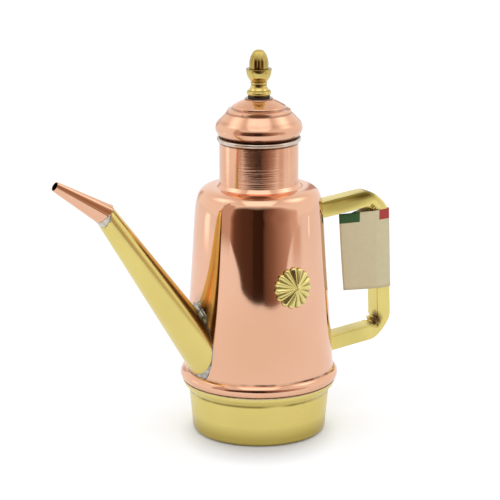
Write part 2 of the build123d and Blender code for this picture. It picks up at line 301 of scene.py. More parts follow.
def spotReach(tree, at, turn, stretch):  # distance from a spot, turned and stretched
    fit = addNode(tree, "Mapping", vector_type="TEXTURE", Vector=objectPlace(tree),
                  Location=at, Rotation=turn, Scale=stretch)
    return addMath(tree, "LENGTH", fit.outputs["Vector"], kind="VectorMath")


def addBump(tree, shader, height, strength, rise):
    bump = addNode(tree, "Bump", Height=height, Strength=strength, Distance=rise * mm)
    feed(tree, shader.inputs["Normal"], bump.outputs["Normal"])


def stainOrShadeMask(tree, mark):  # patch round a spot, used for real stains and for painted shade and painted reflections
    at = [v * mm for v in mark["at"]]
    far = spotReach(tree, at, mark.get("turn", (0, 0, 0)), mark.get("stretch", (1, 1, 1)))
    patch = placedNoise(tree, (mark["grain"],) * 3, 5.0)
    ragged = addMath(tree, "MULTIPLY_ADD", patch, mark["ragged"] * mm, far)
    return spread(tree, ragged, mark["share"], 0, mark["inner"] * mm, mark["outer"] * mm)


def shadeOrSolderRingMask(tree, line):  # ring round a height, used for painted shade in grooves, steps and joins, and for a pale solder line
    core = 0.35  # part of the width at full strength
    high = axesOf(tree, objectPlace(tree))["Z"]
    off = addMath(tree, "ABSOLUTE", addMath(tree, "SUBTRACT", high, line["z"] * mm))
    near = spread(tree, off, line["share"], 0, line["width"] * core * mm, line["width"] * mm)
    if "broken" not in line:
        return near
    # the line thins out in patches
    gaps = spread(tree, placedNoise(tree, (line["broken"],) * 3, 2.0), 0.15, 1.0, 0.40, 0.58)
    return addMath(tree, "MULTIPLY", near, gaps)


def shadeRayMask(tree, ray):  # painted dark lines that run along an axis or out from it: painted reflection on the nozzle, painted shade in the rosette's valleys
    move = addNode(tree, "VectorMath", operation="SUBTRACT")
    feed(tree, move.inputs[0], objectPlace(tree))
    feed(tree, move.inputs[1], [v * mm for v in ray["foot"]])
    place = move.outputs["Vector"]
    reach = [addMath(tree, "DOT_PRODUCT", place, way, kind="VectorMath")
             for way in (ray["up"], ray["across"])]
    pitch = ray["count"] / fullTurn
    saw = addMath(tree, "MULTIPLY_ADD", addMath(tree, "ARCTAN2", *reach), pitch, 0.5 - ray["at"] * pitch)
    off = addMath(tree, "ABSOLUTE", addMath(tree, "SUBTRACT", addMath(tree, "FRACT", saw), 0.5))
    near = spread(tree, off, ray["share"], 0, ray["inner"], ray["outer"])
    if "starts" not in ray:
        return near
    begin, full = ray["starts"]
    far = addMath(tree, "LENGTH", place, kind="VectorMath")
    return addMath(tree, "MULTIPLY", near, spread(tree, far, 0, 1, begin * mm, full * mm))


def metalFinish(name, look):
    mat, tree, shader = startFinish(name)
    shader.inputs["Metallic"].default_value = 1.0
    clouds = placedNoise(tree, (look["cloud"],) * 3, 4.0)
    tone = mixTone(tree, spread(tree, clouds, 0, 1), look["tone"], look["shade"])
    # real stains and solder lines, with marks of painted shade and painted reflection, mixed over the tone
    for kind, mask in (("stainsAndShade", stainOrShadeMask), ("shadeAndSolderRings", shadeOrSolderRingMask), ("rays", shadeRayMask)):
        for mark in look.get(kind, []):
            tone = mixTone(tree, mask(tree, mark), tone, mark["tone"])
    feed(tree, shader.inputs["Base Color"], tone)
    rough = spread(tree, clouds, look["rough"], look["rough"] + look["smudge"])
    feed(tree, shader.inputs["Roughness"], rough)
    depth = look["lineDepth"]
    if "scuff" in look:  # deeper scratches below a height
        scuff = look["scuff"]
        high = axesOf(tree, objectPlace(tree))["Z"]
        depth = spread(tree, high, depth, scuff["depth"], scuff["from"] * mm, scuff["to"] * mm)
    lines = placedNoise(tree, look["lines"], 2.0, look.get("turn", (0, 0, 0)))
    addBump(tree, shader, lines, depth, look.get("lineHeight", 0.02))
    return mat


def washerFinish(name, look):
    mat, tree, shader = startFinish(name)
    fibres = placedNoise(tree, (look["fibre"],) * 3, 6.0)
    feed(tree, shader.inputs["Base Color"],
         mixTone(tree, spread(tree, fibres, 0, 1), look["tone"], look["shade"]))
    feed(tree, shader.inputs["Roughness"], spread(tree, fibres, *look["rough"]))
    addBump(tree, shader, fibres, look["depth"], look["height"])
    return mat


# finishes of the plain copper, the solder and the small parts
polish = {
    "tone": (0.88, 0.52, 0.35), "shade": (0.82, 0.46, 0.30), "cloud": 28,
    "lines": (8, 8, 2600), "lineDepth": 0.10, "rough": 0.05, "smudge": 0.04,
}
copperPolish = metalFinish("copperPolish", polish)
copperTurned = metalFinish("copperTurned", {
    "tone": (0.86, 0.50, 0.33), "shade": (0.76, 0.41, 0.26), "cloud": 36,
    "lines": (16, 16, 1300), "lineDepth": 0.40, "lineHeight": 0.05, "rough": 0.09, "smudge": 0.06,
    "scuff": {"from": 181.0, "to": 176.5, "depth": 1.0},
    # painted shade: dark ring under the rim roll, and a dark ring just above the neck's foot
    "shadeAndSolderRings": [{"z": neckTop - 1.9, "width": 0.8, "share": 0.85, "tone": (0.10, 0.05, 0.03)},
              {"z": neckSeam + 0.6, "width": 0.9, "share": 0.6, "tone": (0.25, 0.11, 0.05)}],
})
softSolder = metalFinish("softSolder", {
    "tone": (0.62, 0.60, 0.56), "shade": (0.14, 0.13, 0.115), "cloud": 300,
    "lines": (420, 420, 420), "lineDepth": 0.60, "lineHeight": 0.15, "rough": 0.20, "smudge": 0.22,
})
lipSolder = metalFinish("lipSolder", {
    "tone": (0.78, 0.74, 0.66), "shade": (0.52, 0.45, 0.35), "cloud": 220,
    "lines": (300, 300, 300), "lineDepth": 0.40, "lineHeight": 0.08, "rough": 0.28, "smudge": 0.18,
})
copperBraze = metalFinish("copperBraze", {
    "tone": (0.78, 0.44, 0.28), "shade": (0.60, 0.33, 0.20), "cloud": 200,
    "lines": (300, 300, 300), "lineDepth": 0.40, "lineHeight": 0.06, "rough": 0.16, "smudge": 0.10,
})
brassBraze = metalFinish("brassBraze", {
    "tone": (0.70, 0.56, 0.18), "shade": (0.52, 0.40, 0.13), "cloud": 220,
    "lines": (300, 300, 300), "lineDepth": 0.40, "lineHeight": 0.06, "rough": 0.20, "smudge": 0.12,
})
plainSteel = metalFinish("plainSteel", {
    "tone": (0.60, 0.60, 0.61), "shade": (0.46, 0.46, 0.47), "cloud": 150,
    "lines": (500, 500, 500), "lineDepth": 0.25, "rough": 0.25, "smudge": 0.12,
})
# near-black washer; its black also paints the shadow gap under the knob
darkGapWasher = washerFinish("darkGapWasher", {
    "tone": (0.05, 0.03, 0.02), "shade": (0.015, 0.01, 0.008), "fibre": 900,
    "rough": (0.45, 0.75), "depth": 0.5, "height": 0.1,
})
print("first finishes ready")

# body: leaning side and a domed shoulder that runs up into the neck
shell = {
    "rows": 4.0, "swell": 0.35, "swellFrom": 105.0, "domeLow": 142.0, "domeRise": 16.2, "domeSteps": 34,
    "crownPull": (38.8, 162.0), "crownEnd": (27.7, 162.25),
    "filletPulls": ((27.2, 162.35), (26.2, 163.65)), "filletTop": 164.6, "filletSteps": 10,
    "sideWave": {"high": 0.05, "round": 1.7, "up": 0.022, "seed": 0},
    "domeWave": {"high": 0.20, "round": 4.2, "up": 0.13, "seed": 5},
    "domeFade": 7.0, "neckFade": 5.0, "neckClear": 1.0, "neckGap": 0.05,
}
copperBody = metalFinish("copperBody", {
    "tone": (0.88, 0.52, 0.35), "shade": (0.84, 0.48, 0.32), "cloud": 24,
    "lines": (6, 6, 2200), "lineDepth": 0.06, "rough": 0.03, "smudge": 0.02,
    "stainsAndShade": [{"at": (-43.5, -5, 88), "grain": 130, "ragged": 10, "inner": 8, "outer": 17, "share": 0.8,
                "tone": (0.42, 0.36, 0.30)},
               # painted shade beside the spout root, where spout and side meet
               {"at": (-44.6, -10.5, 81), "grain": 170, "ragged": 5, "inner": 4, "outer": 10, "share": 0.85,
                "tone": (0.07, 0.04, 0.02)},
               # painted reflection: broad dimmer patch on the side's front, where the reflected floor is
               # darker
               {"at": (-26, -38, 66), "grain": 34, "ragged": 16, "inner": 18, "outer": 60, "share": 0.75,
                "tone": (0.765, 0.425, 0.26)},
               # painted reflection: dark lens on the shoulder just below the neck's front
               {"at": (-16.5, -28.6, 161.5), "stretch": (0.40, 1.1, 1), "turn": frontTurn, "grain": 90,
                "ragged": 3, "inner": 6, "outer": 11, "share": 0.95, "tone": (0.09, 0.026, 0.01)}],
    # painted shade: broken dark line where the side meets the bead's top
    "shadeAndSolderRings": [{"z": 42.8, "width": 1.1, "share": 0.92, "broken": 60, "tone": (0.05, 0.02, 0.01)}],
})


def waveOf(wave, turn, z):
    return wave["high"] * ringNoise(turn, wave["round"], z * wave["up"] + wave["seed"])


def sideRadius(z):  # the side stands a little full under the shoulder
    share = within((z - shell["swellFrom"]) / (shell["domeLow"] - shell["swellFrom"]))
    return bodyRadius(z) + shell["swell"] * share * share * (3 - 2 * share)


def shellLine():
    tall = shell["domeLow"] - cruet["bodyFoot"]
    count = math.ceil(tall / shell["rows"])
    heights = [cruet["bodyFoot"] + tall * i / count for i in range(count + 1)]
    line = [Vector((sideRadius(z), z)) for z in heights]
    domePull = line[-1] + Vector((-math.sin(lean), math.cos(lean))) * shell["domeRise"]
    line += pulledLine(line[-1], domePull, shell["crownPull"], shell["crownEnd"], shell["domeSteps"])[1:]
    top = (cruet["neckRadius"] + shell["neckGap"], shell["filletTop"])
    return line + pulledLine(line[-1], *shell["filletPulls"], top, shell["filletSteps"])[1:]


def handBeaten(turn, r, z):  # faint waves of a hand-worked sheet
    onDome = within((z - shell["domeLow"]) / shell["domeFade"])
    offNeck = within((r - cruet["neckRadius"] - shell["neckClear"]) / shell["neckFade"])
    return waveOf(shell["sideWave"], turn, z) + onDome * offNeck * waveOf(shell["domeWave"], turn, z)


shellLoop = sheetLoop(shellLine(), cruet["sheet"])
bodyShell = lathe("bodyShell", "body_shell", "vessel", shellLoop, handBeaten, segments=256)
dress(bodyShell, copperBody)

# base cup with its crease and flared lip
cup = {"foot": 43.0, "footRound": 2.5, "crease": (45.6, 27.5, 0.3), "lip": (49.15, 32.1, 1.3), "sheet": 1.0}
brassTurned = metalFinish("brassTurned", {
    "tone": (0.78, 0.65, 0.215), "shade": (0.73, 0.595, 0.18), "cloud": 18,
    "lines": (3, 3, 1500), "lineDepth": 0.14, "lineHeight": 0.03, "rough": 0.24, "smudge": 0.05,
    # painted shade in the cup's crease
    "shadeAndSolderRings": [{"z": 27.7, "width": 1.3, "share": 0.8, "broken": 45, "tone": (0.24, 0.18, 0.04)},
              {"z": 34.4, "width": 1.0, "share": 0.8, "broken": 80, "tone": (0.68, 0.65, 0.56)},
              # painted shade: darker towards the foot, where the shadowed floor is reflected, and a thin dark
              # line at the foot's edge
              {"z": 0, "width": 13, "share": 0.65, "tone": (0.38, 0.28, 0.06)},
              {"z": 0.4, "width": 1.8, "share": 0.7, "tone": (0.20, 0.14, 0.03)}],
})
cupLine = roundedLine([(0, 0), (cup["foot"], 0, cup["footRound"]), cup["crease"], cup["lip"],
                       (cup["lip"][0], cruet["bodyFoot"])], 8, 4.0)
baseCup = lathe("baseCup", "base_cup", "vessel", sheetLoop(cupLine, cup["sheet"]), bend=40)
dress(baseCup, brassTurned)

# half-round bead over the joint
bead = {"height": 7.7, "lip": 0.3, "bulge": 2.3, "steps": 20, "tuck": 0.01,
        "nicks": {"high": 0.05, "round": 5, "up": 0.2, "seed": 0}}
beadLow = (cruet["footRadius"] + bead["lip"], cruet["bodyFoot"])
beadTop = cruet["bodyFoot"] + bead["height"]
beadLoop = bulgeLine(beadLow, (bodyRadius(beadTop), beadTop), bead["bulge"], bead["steps"])
beadLoop += [Vector((cruet["footRadius"] + bead["tuck"], cruet["bodyFoot"]))]


def beadNicks(turn, r, z):
    return waveOf(bead["nicks"], turn, z)


footBead = lathe("footBead", "foot_bead", "vessel", beadLoop, beadNicks, bend=50)
dress(footBead, copperPolish)

# neck and rolled rim
neck = {"below": 2.5, "rows": 3.0, "rollOut": 0.15, "rollSteps": 28}
tinFace = metalFinish("tinFace", {
    "tone": (0.74, 0.67, 0.58), "shade": (0.55, 0.43, 0.34), "cloud": 90,
    "lines": (20, 20, 1800), "lineDepth": 0.15, "rough": 0.05, "smudge": 0.06,
    # painted shade on the rim roll's top, under the lid's edge
    "shadeAndSolderRings": [{"z": neckTop + 1.9, "width": 1.0, "share": 0.85, "tone": (0.12, 0.06, 0.04)}],
})
neckLine = roundedLine([(cruet["neckRadius"], neckSeam - neck["below"]), (cruet["neckRadius"], neckTop)],
                       reach=neck["rows"])
neckTube = lathe("neckTube", "neck_tube", "vessel", sheetLoop(neckLine, cruet["sheet"]))
dress(neckTube, copperTurned)

rimLoop = [Vector((cruet["neckRadius"] + neck["rollOut"] + cruet["rimRadius"] * math.cos(t),
                   neckTop + cruet["rimRadius"] * math.sin(t)))
           for t in (fullTurn * k / neck["rollSteps"] for k in range(neck["rollSteps"]))]
rimRoll = lathe("rimRoll", "rim_roll", "vessel", rimLoop, bend=60)
dress(rimRoll, tinFace)
print("turned vessel pieces built")

# lid dome: (radius, height over its seat, round) from the edge up to the boss
lid = {
    "sleeveHole": 23.7, "foot": 25.3, "footRound": 0.4, "screwHole": 2.1, "rings": 0.15, "ringStep": 2.3,
    "ringRound": 0.5, "ringSlope": 0.5,
    "profile": {"edge": (29.6, 6.3, 6.0), "flank": (20.9, 15.3, 0.7), "ledge": (20.1, 17.3, 0.8),
                "step": (17.3, 18.1, 0.5), "crown": (17.0, 19.5, 0.8), "dome": (12.7, 21.9, 5.0),
                "bossFoot": (9.2, 23.5, 0.9), "boss": (8.7, 24.6, 0.3)},
}
copperLid = metalFinish("copperLid", {
    "tone": (0.86, 0.50, 0.335), "shade": (0.78, 0.42, 0.27), "cloud": 42,
    "lines": (5, 5, 1900), "lineDepth": 0.60, "lineHeight": 0.045, "rough": 0.10, "smudge": 0.06,
    # painted reflection: dark band on the front of the ledge's riser
    "stainsAndShade": [{"at": (-10.1, -17.5, lidSeat + 16.4), "stretch": (0.36, 1.5, 0.20), "turn": frontTurn,
                "grain": 90, "ragged": 2, "inner": 5, "outer": 9, "share": 0.95, "tone": (0.12, 0.04, 0.02)}],
    # painted shade at the step and at the ledge
    "shadeAndSolderRings": [{"z": lidSeat + 18.3, "width": 0.8, "share": 0.5, "tone": (0.20, 0.08, 0.04)},
              {"z": lidSeat + 15.6, "width": 0.9, "share": 0.5, "tone": (0.18, 0.07, 0.03)},
              # painted reflection: broken darker band across the flank
              {"z": lidSeat + 10.4, "width": 1.5, "share": 0.35, "broken": 70, "tone": (0.40, 0.22, 0.13)},
              # painted shade on the boss under the washer
              {"z": lidSeat + 24.3, "width": 1.0, "share": 0.75, "tone": (0.14, 0.06, 0.03)},
              # painted shade on the underside where the lid sits on the rim
              {"z": lidSeat, "width": 2.6, "share": 0.85, "tone": (0.12, 0.045, 0.025)}],
})


def spunRings(turn, r, z):  # faint rings left by the spinning tool
    return lid["rings"] * ringNoise(turn, lid["ringRound"], (z + r * lid["ringSlope"]) / lid["ringStep"])


lidLine = roundedLine([(lid["sleeveHole"], lidSeat), (lid["foot"], lidSeat, lid["footRound"]),
                       *((r, lidSeat + up, corner) for r, up, corner in lid["profile"].values()),
                       (lid["screwHole"], lidTop)], 12, 0.5)
lidDome = lathe("lidDome", "lid_dome", "lid", sheetLoop(lidLine, cruet["sheet"]), spunRings)
dress(lidDome, copperLid)

# knob: ringed foot, stem, cup and fluted bud, heights from its own foot
knob = {
    "foot": (7.3, 0.9), "undercut": (6.5, 0.7), "waist": (7.2, 3.6),
    "stem": 5.1, "stemLow": 7.0, "stemHigh": 9.4, "ring": 0.35, "ringLow": 1.5, "ringHigh": 0.4, "step": 0.1,
    "belly": (8.0, 15.4), "rim": (8.2, 17.7), "rimRound": 0.35,
    "bud": 6.1, "budWall": 20.5, "budNeck": (3.2, 28.8), "top": 29.7,
    "footBulge": 0.6, "waistHollow": -0.5, "bellyBulge": 0.6,
    "flutes": 12, "fluteDepth": 0.28, "fluteFrom": 0.3, "fluteFade": 1.2, "fluteTip": 3.0,
}
brassBright = metalFinish("brassBright", {
    "tone": (0.76, 0.61, 0.22), "shade": (0.60, 0.45, 0.12), "cloud": 90,
    "lines": (10, 10, 2600), "lineDepth": 0.12, "rough": 0.07, "smudge": 0.05,
    # painted shade in the knob's ring grooves
    "shadeAndSolderRings": [{"z": knobFoot + 3.7, "width": 0.5, "share": 0.6, "tone": (0.20, 0.12, 0.03)},
              {"z": knobFoot + 7.5, "width": 0.5, "share": 0.6, "tone": (0.20, 0.12, 0.03)},
              {"z": knobFoot + 9.3, "width": 0.45, "share": 0.7, "tone": (0.18, 0.10, 0.03)},
              {"z": knobFoot + 17.9, "width": 0.6, "share": 0.8, "tone": (0.14, 0.08, 0.02)},
              # painted shade: the bud darker over its height
              {"z": knobFoot + 21.5, "width": 9.0, "share": 0.5, "tone": (0.30, 0.21, 0.05)},
              # painted shade: dark ring at the knob's foot, for the gap over the washer
              {"z": knobFoot, "width": 1.4, "share": 0.92, "tone": (0.05, 0.03, 0.01)}],
})


def knobLoop():
    stem, low, high = knob["stem"], knob["stemLow"], knob["stemHigh"]
    line = [Vector((0, 0)), Vector((knob["undercut"][0], 0)), Vector(knob["undercut"])]
    line += bulgeLine(knob["foot"], knob["waist"], knob["footBulge"], 10)
    line += bulgeLine(knob["waist"], (stem, low), knob["waistHollow"], 10)[1:]
    line += [Vector((stem, high - knob["ringLow"] - knob["step"]))]
    line += bulgeLine((stem, high - knob["ringLow"]), (stem, high - knob["ringHigh"]), knob["ring"], 6)
    line += bulgeLine((stem, high), knob["belly"], knob["bellyBulge"], 14)
    bud, wall, rimZ = knob["bud"], knob["budWall"], knob["rim"][1]
    line += roundedLine([knob["belly"], (*knob["rim"], knob["rimRound"]), (bud, rimZ)], 5)[1:]
    line += roundedLine([(bud, rimZ + knob["step"]), (bud, wall)], reach=0.9)
    tipR, tipZ = knob["budNeck"]
    dx, dz = bud - tipR, tipZ - wall
    big = (dx * dx + dz * dz) / (2 * dx)  # the bud's side starts upright
    swing = math.asin(dz / big)
    line += [Vector((bud - big + big * math.cos(t), wall + big * math.sin(t)))
             for t in (swing * k / 12 for k in range(1, 13))]
    rise = knob["top"] - tipZ
    ball = (tipR * tipR + rise * rise) / (2 * rise)
    swing = math.asin(tipR / ball)
    line += [Vector((ball * math.sin(t), knob["top"] - ball + ball * math.cos(t)))
             for t in (swing * (1 - k / 6) for k in range(1, 7))]
    return [Vector((p.x, p.y + knobFoot)) for p in line]


def budFlutes(turn, r, z):
    high = z - knobFoot - knob["rim"][1] - knob["fluteFrom"]
    if high < 0 or r > knob["bud"] + 0.01:
        return 0
    fade = min(1, high / knob["fluteFade"]) * min(1, r / knob["fluteTip"])
    groove = 0.5 - 0.5 * math.cos(knob["flutes"] * turn)
    return -knob["fluteDepth"] * fade * groove ** 1.5


knobTurned = lathe("knobTurned", "knob", "lid", knobLoop(), budFlutes, segments=240, bend=38)
dress(knobTurned, brassBright)
print("lid and knob built")

# spout: rolled cone from the body's side to the mitre, and the nozzle beyond it
spout = {"height": 65.5, "angle": 55.2, "length": 111.0, "root": 13.05, "rootWide": 16.5, "end": 6.8,
         "sheet": 0.8, "rows": 46, "round": 96}
nozzle = {"angle": 32.8, "length": 39.3, "base": 7.1, "tip": 3.2, "sheet": 0.45, "rows": 22, "round": 96,
          "lap": 0.16, "lapAt": 1.9, "lapSpan": 1.4, "flatAt": 2.81, "flatHalf": 0.34}
aside = Vector((0, 1, 0))
# stretches of a tube's line that are searched for its ends
rootSpan, filletSpan, mitreSpan = (-25, 40), (-30, 45), (90, 130)
nozzleSpan, armSpan = (-20, 20), (-8, 12)


def wayOf(angle):
    return Vector((-math.cos(math.radians(angle)), 0, math.sin(math.radians(angle))))


spoutWay, nozzleWay = wayOf(spout["angle"]), wayOf(nozzle["angle"])
spoutRoot = Vector((-bodyRadius(spout["height"]), 0, spout["height"]))
spoutJoint = spoutRoot + spoutWay * spout["length"]
mitreWay = (spoutWay + nozzleWay).normalized()

brassRolled = metalFinish("brassRolled", {
    "tone": (0.79, 0.655, 0.22), "shade": (0.745, 0.60, 0.19), "cloud": 26,
    "lines": (700, 500, 24), "turn": (0, math.radians(90 - spout["angle"]), 0), "lineDepth": 0.16,
    "lineHeight": 0.03, "rough": 0.17, "smudge": 0.06,
    # painted shade on the spout beside its root, where it meets the side
    "stainsAndShade": [{"at": (-46, -5, 85), "grain": 200, "ragged": 5, "inner": 6, "outer": 14, "share": 0.9,
                "tone": (0.05, 0.035, 0.015)},
               {"at": (-76.5, -9.5, 113.5), "grain": 500, "ragged": 1.5, "inner": 0.9, "outer": 2.4,
                "share": 0.8, "tone": (0.16, 0.20, 0.05)}],
})
copperNozzle = metalFinish("copperNozzle", {
    **polish,
    # painted reflection: dark stripe along the nozzle's hammered flat
    "rays": [{"foot": spoutJoint, "across": aside, "up": aside.cross(nozzleWay), "count": 1,
              "at": nozzle["flatAt"], "inner": 0.030, "outer": 0.060, "share": 0.95,
              "tone": (0.34, 0.12, 0.045)}],
})


def tubePoint(foot, way, turn, along, tall, wide):
    up = aside.cross(way)
    return foot + way * along + aside * (math.cos(turn) * wide) + up * (math.sin(turn) * tall)


def findAlong(test, low, high):  # walks a line to where test turns positive
    for _ in range(40):
        mid = (low + high) / 2
        if test(mid) > 0:
            high = mid
        else:
            low = mid
    return (low + high) / 2


def clearOfVessel(p):  # positive outside the body's side
    return math.hypot(p.x, p.y) - bodyRadius(p.z)


def pastMitre(p):  # positive on the nozzle's side
    return (p - spoutJoint).dot(mitreWay)


def turnFrom(turn, centre):  # angle between two places round a tube
    return abs((turn - centre + math.pi) % fullTurn - math.pi)


def spoutPoint(turn, along, grow=0.0):  # flattened cone, wide at the body and round at the mitre
    share = along / spout["length"]
    tall = spout["root"] + (spout["end"] - spout["root"]) * share + grow
    wide = spout["rootWide"] + (spout["end"] - spout["rootWide"]) * share + grow
    return tubePoint(spoutRoot, spoutWay, turn, along, tall, wide)


def nozzlePoint(turn, along, grow=0.0):
    radius = nozzle["base"] + (nozzle["tip"] - nozzle["base"]) * along / nozzle["length"]
    off = turnFrom(turn, nozzle["flatAt"])
    if off < nozzle["flatHalf"]:  # flat left where the seam was hammered down
        radius *= math.cos(nozzle["flatHalf"]) / math.cos(off)
    return tubePoint(spoutJoint, nozzleWay, turn, along, radius + grow, radius + grow)


def spoutFoot(turn, grow=0.0):
    return findAlong(lambda s: clearOfVessel(spoutPoint(turn, s, grow)), *rootSpan)


def spoutMitre(turn, grow=0.0):
    return findAlong(lambda s: pastMitre(spoutPoint(turn, s, grow)), *mitreSpan)


def nozzleMitre(turn, grow=0.0):
    return findAlong(lambda s: pastMitre(nozzlePoint(turn, s, grow)), *nozzleSpan)


def spoutLine(turn, depth):  # point maker, then the two ends
    return (lambda s: spoutPoint(turn, s, -depth)), spoutFoot(turn, -depth), spoutMitre(turn, -depth)


def nozzleLine(turn, depth):
    lap = 0
    if not depth:  # lapped edge
        lap = nozzle["lap"] * max(0, 1 - ((turn - nozzle["lapAt"]) % fullTurn) / nozzle["lapSpan"])
    grow = lap - depth
    return (lambda s: nozzlePoint(turn, s, grow)), nozzleMitre(turn, grow), nozzle["length"]


def tubeRings(size, lineAt, depth):
    rings = [[] for _ in range(size["rows"] + 1)]
    for k in range(size["round"]):
        pointAt, low, high = lineAt(fullTurn * k / size["round"], depth)
        for i, ring in enumerate(rings):
            ring.append(pointAt(low + (high - low) * i / size["rows"]))
    return rings


def tubePiece(name, node, size, lineAt):
    outer, inner = tubeRings(size, lineAt, 0), tubeRings(size, lineAt, size["sheet"])
    rings = outer + inner[::-1]
    rows = rowsOf(len(rings), size["round"])
    rims = (rows[0], rows[len(outer) - 1], rows[len(outer)], rows[-1])
    sharp = [(r[k], r[(k + 1) % len(r)]) for r in rims for k in range(len(r))]
    verts = [tuple(p) for ring in rings for p in ring]
    return makePiece(name, node, "vessel", verts, skin(rows + rows[:1]), sharp)


spoutTube = tubePiece("spoutTube", "spout_tube", spout, spoutLine)
dress(spoutTube, brassRolled)
nozzleTube = tubePiece("nozzleTube", "nozzle", nozzle, nozzleLine)
dress(nozzleTube, copperNozzle)

# solder: ragged fillets run by hand round the two spout joints
# an arc is (centre, half width) round the tube, a rag is (share, size, level) of its noise
seam = {
    "round": 144, "steps": 6, "sink": 0.15, "over": 0.02, "lumps": 0.6,
    "rootThin": 0.45, "crotch": 3.6, "crotchArc": (math.pi / 2, 1.0), "crotchClimb": 0.8, "crotchFull": 0.5,
    "foot": 1.5, "footArc": (math.pi * 1.25, 0.5), "footClimb": 0.2, "footFull": 0.1, "rootFull": 0.10,
    "climbRag": (0.55, 5.5, 3.1), "flowRag": (0.5, 6.5, 8.4), "fullRag": (1, 9.0, 5.0),
    "jointThin": 0.55, "jointFrom": 0.1, "jointFull": 0.16,
    "blotch": 3.2, "blotchArc": (math.pi * 1.25, 1.15), "blotchUp": 0.5,
    "upRag": (0.6, 4.5, 1.7), "downRag": (0.45, 6.0, 6.2),
}


def hump(turn, arc):  # 1 at the centre of an arc, 0 beyond its ends
    centre, wide = seam[arc]
    return max(0, 1 - (turnFrom(turn, centre) / wide) ** 2)


def ragged(turn, rag):  # factor round 1
    share, size, level = seam[rag]
    return 1 + share * ringNoise(turn, size, level)


def rootSection(turn):
    # fillet's end on the spout, its corner, its end on the body and how full it is
    low = spoutFoot(turn)
    top, foot = hump(turn, "crotchArc"), hump(turn, "footArc")
    crotch = seam["crotch"] * top ** 1.5
    climb = seam["rootThin"] + crotch * seam["crotchClimb"] + seam["footClimb"] * foot
    climb *= ragged(turn, "climbRag")
    flow = (seam["rootThin"] + crotch + seam["foot"] * foot) * ragged(turn, "flowRag")
    full = seam["rootFull"] + seam["crotchFull"] * top * ragged(turn, "fullRag") + seam["footFull"] * foot
    far = findAlong(lambda s: clearOfVessel(spoutPoint(turn, s, flow)), *filletSpan)
    onSpout = spoutPoint(turn, low + climb, seam["over"])
    return onSpout, spoutPoint(turn, low), spoutPoint(turn, far, flow), full


def jointSection(turn):
    # the same four, from the nozzle to the spout
    low, high = nozzleMitre(turn) + seam["jointFrom"], spoutMitre(turn)
    drip = hump(turn, "blotchArc")
    up = (seam["jointThin"] + seam["blotchUp"] * drip) * ragged(turn, "upRag")
    down = (seam["jointThin"] + seam["blotch"] * drip ** 1.3) * ragged(turn, "downRag")
    onNozzle = nozzlePoint(turn, low + up, seam["over"])
    onSpout = spoutPoint(turn, high - down, seam["over"])
    return onNozzle, nozzlePoint(turn, low), onSpout, seam["jointFull"] * (1 + drip)


def solderRing(name, node, section, middle):
    rings = [[] for _ in range(seam["steps"] + 2)]
    for k in range(seam["round"]):
        turn = fullTurn * k / seam["round"]
        a, corner, b, full = section(turn)
        out = (a + b) / 2 - corner
        out = out.normalized() if out.length > 0.05 else (corner - middle).normalized()
        rings[0].append(corner - out * seam["sink"])
        for i, ring in enumerate(rings[1:]):
            t = i / seam["steps"]
            lump = 1 + seam["lumps"] * noise.noise(Vector((turn * 9, t * 3, 4.4)))
            rise = full * math.sin(math.pi * t) * lump
            ring.append(a * (1 - t) ** 2 + corner * 2 * t * (1 - t) + b * t * t + out * rise)
    rows = rowsOf(len(rings), seam["round"])
    verts = [tuple(p) for ring in rings for p in ring]
    return makePiece(name, node, "vessel", verts, flipped(skin(rows + rows[:1])))


rootSolder = solderRing("rootSolder", "spout_root_solder", rootSection, spoutRoot)
dress(rootSolder, softSolder)
jointSolder = solderRing("jointSolder", "nozzle_solder", jointSection, spoutJoint)
dress(jointSolder, lipSolder)
print("spout and nozzle built")

# handle: square tube bent to a D, with pleats where it was bent
handle = {
    "low": 49.3, "high": 140.8, "lowReach": 45.7, "highReach": 49.0, "tilt": 5.7,
    "width": 12.4, "thick": 10.4, "outerRound": 1.7, "innerRound": 0.8, "pillow": 0.22,
    "sunk": 1.5, "rows": 2.5, "bend": 12.2, "bendSteps": 32, "flatten": 1.3,
    "pleats": 3, "pleatDepth": 2.0, "pleatSpan": 0.22, "pleatSide": 4.5, "pleatFrom": 0.2, "pleatFade": 4.5,
    "pleatFace": -3.5, "sideLift": 0.35, "lowSeed": 0.8, "highSeed": 2.3,
}
tilt = math.radians(handle["tilt"])
armWay = Vector((math.cos(tilt), math.sin(tilt)))
lowFoot = Vector((bodyRadius(handle["low"]), handle["low"]))
highFoot = Vector((bodyRadius(handle["high"]), handle["high"]))
gripLow = lowFoot + armWay * (handle["lowReach"] / armWay.x)
gripHigh = highFoot + armWay * (handle["highReach"] / armWay.x)
gripWay = (gripHigh - gripLow).normalized()
armTurn = (0, -tilt, 0)
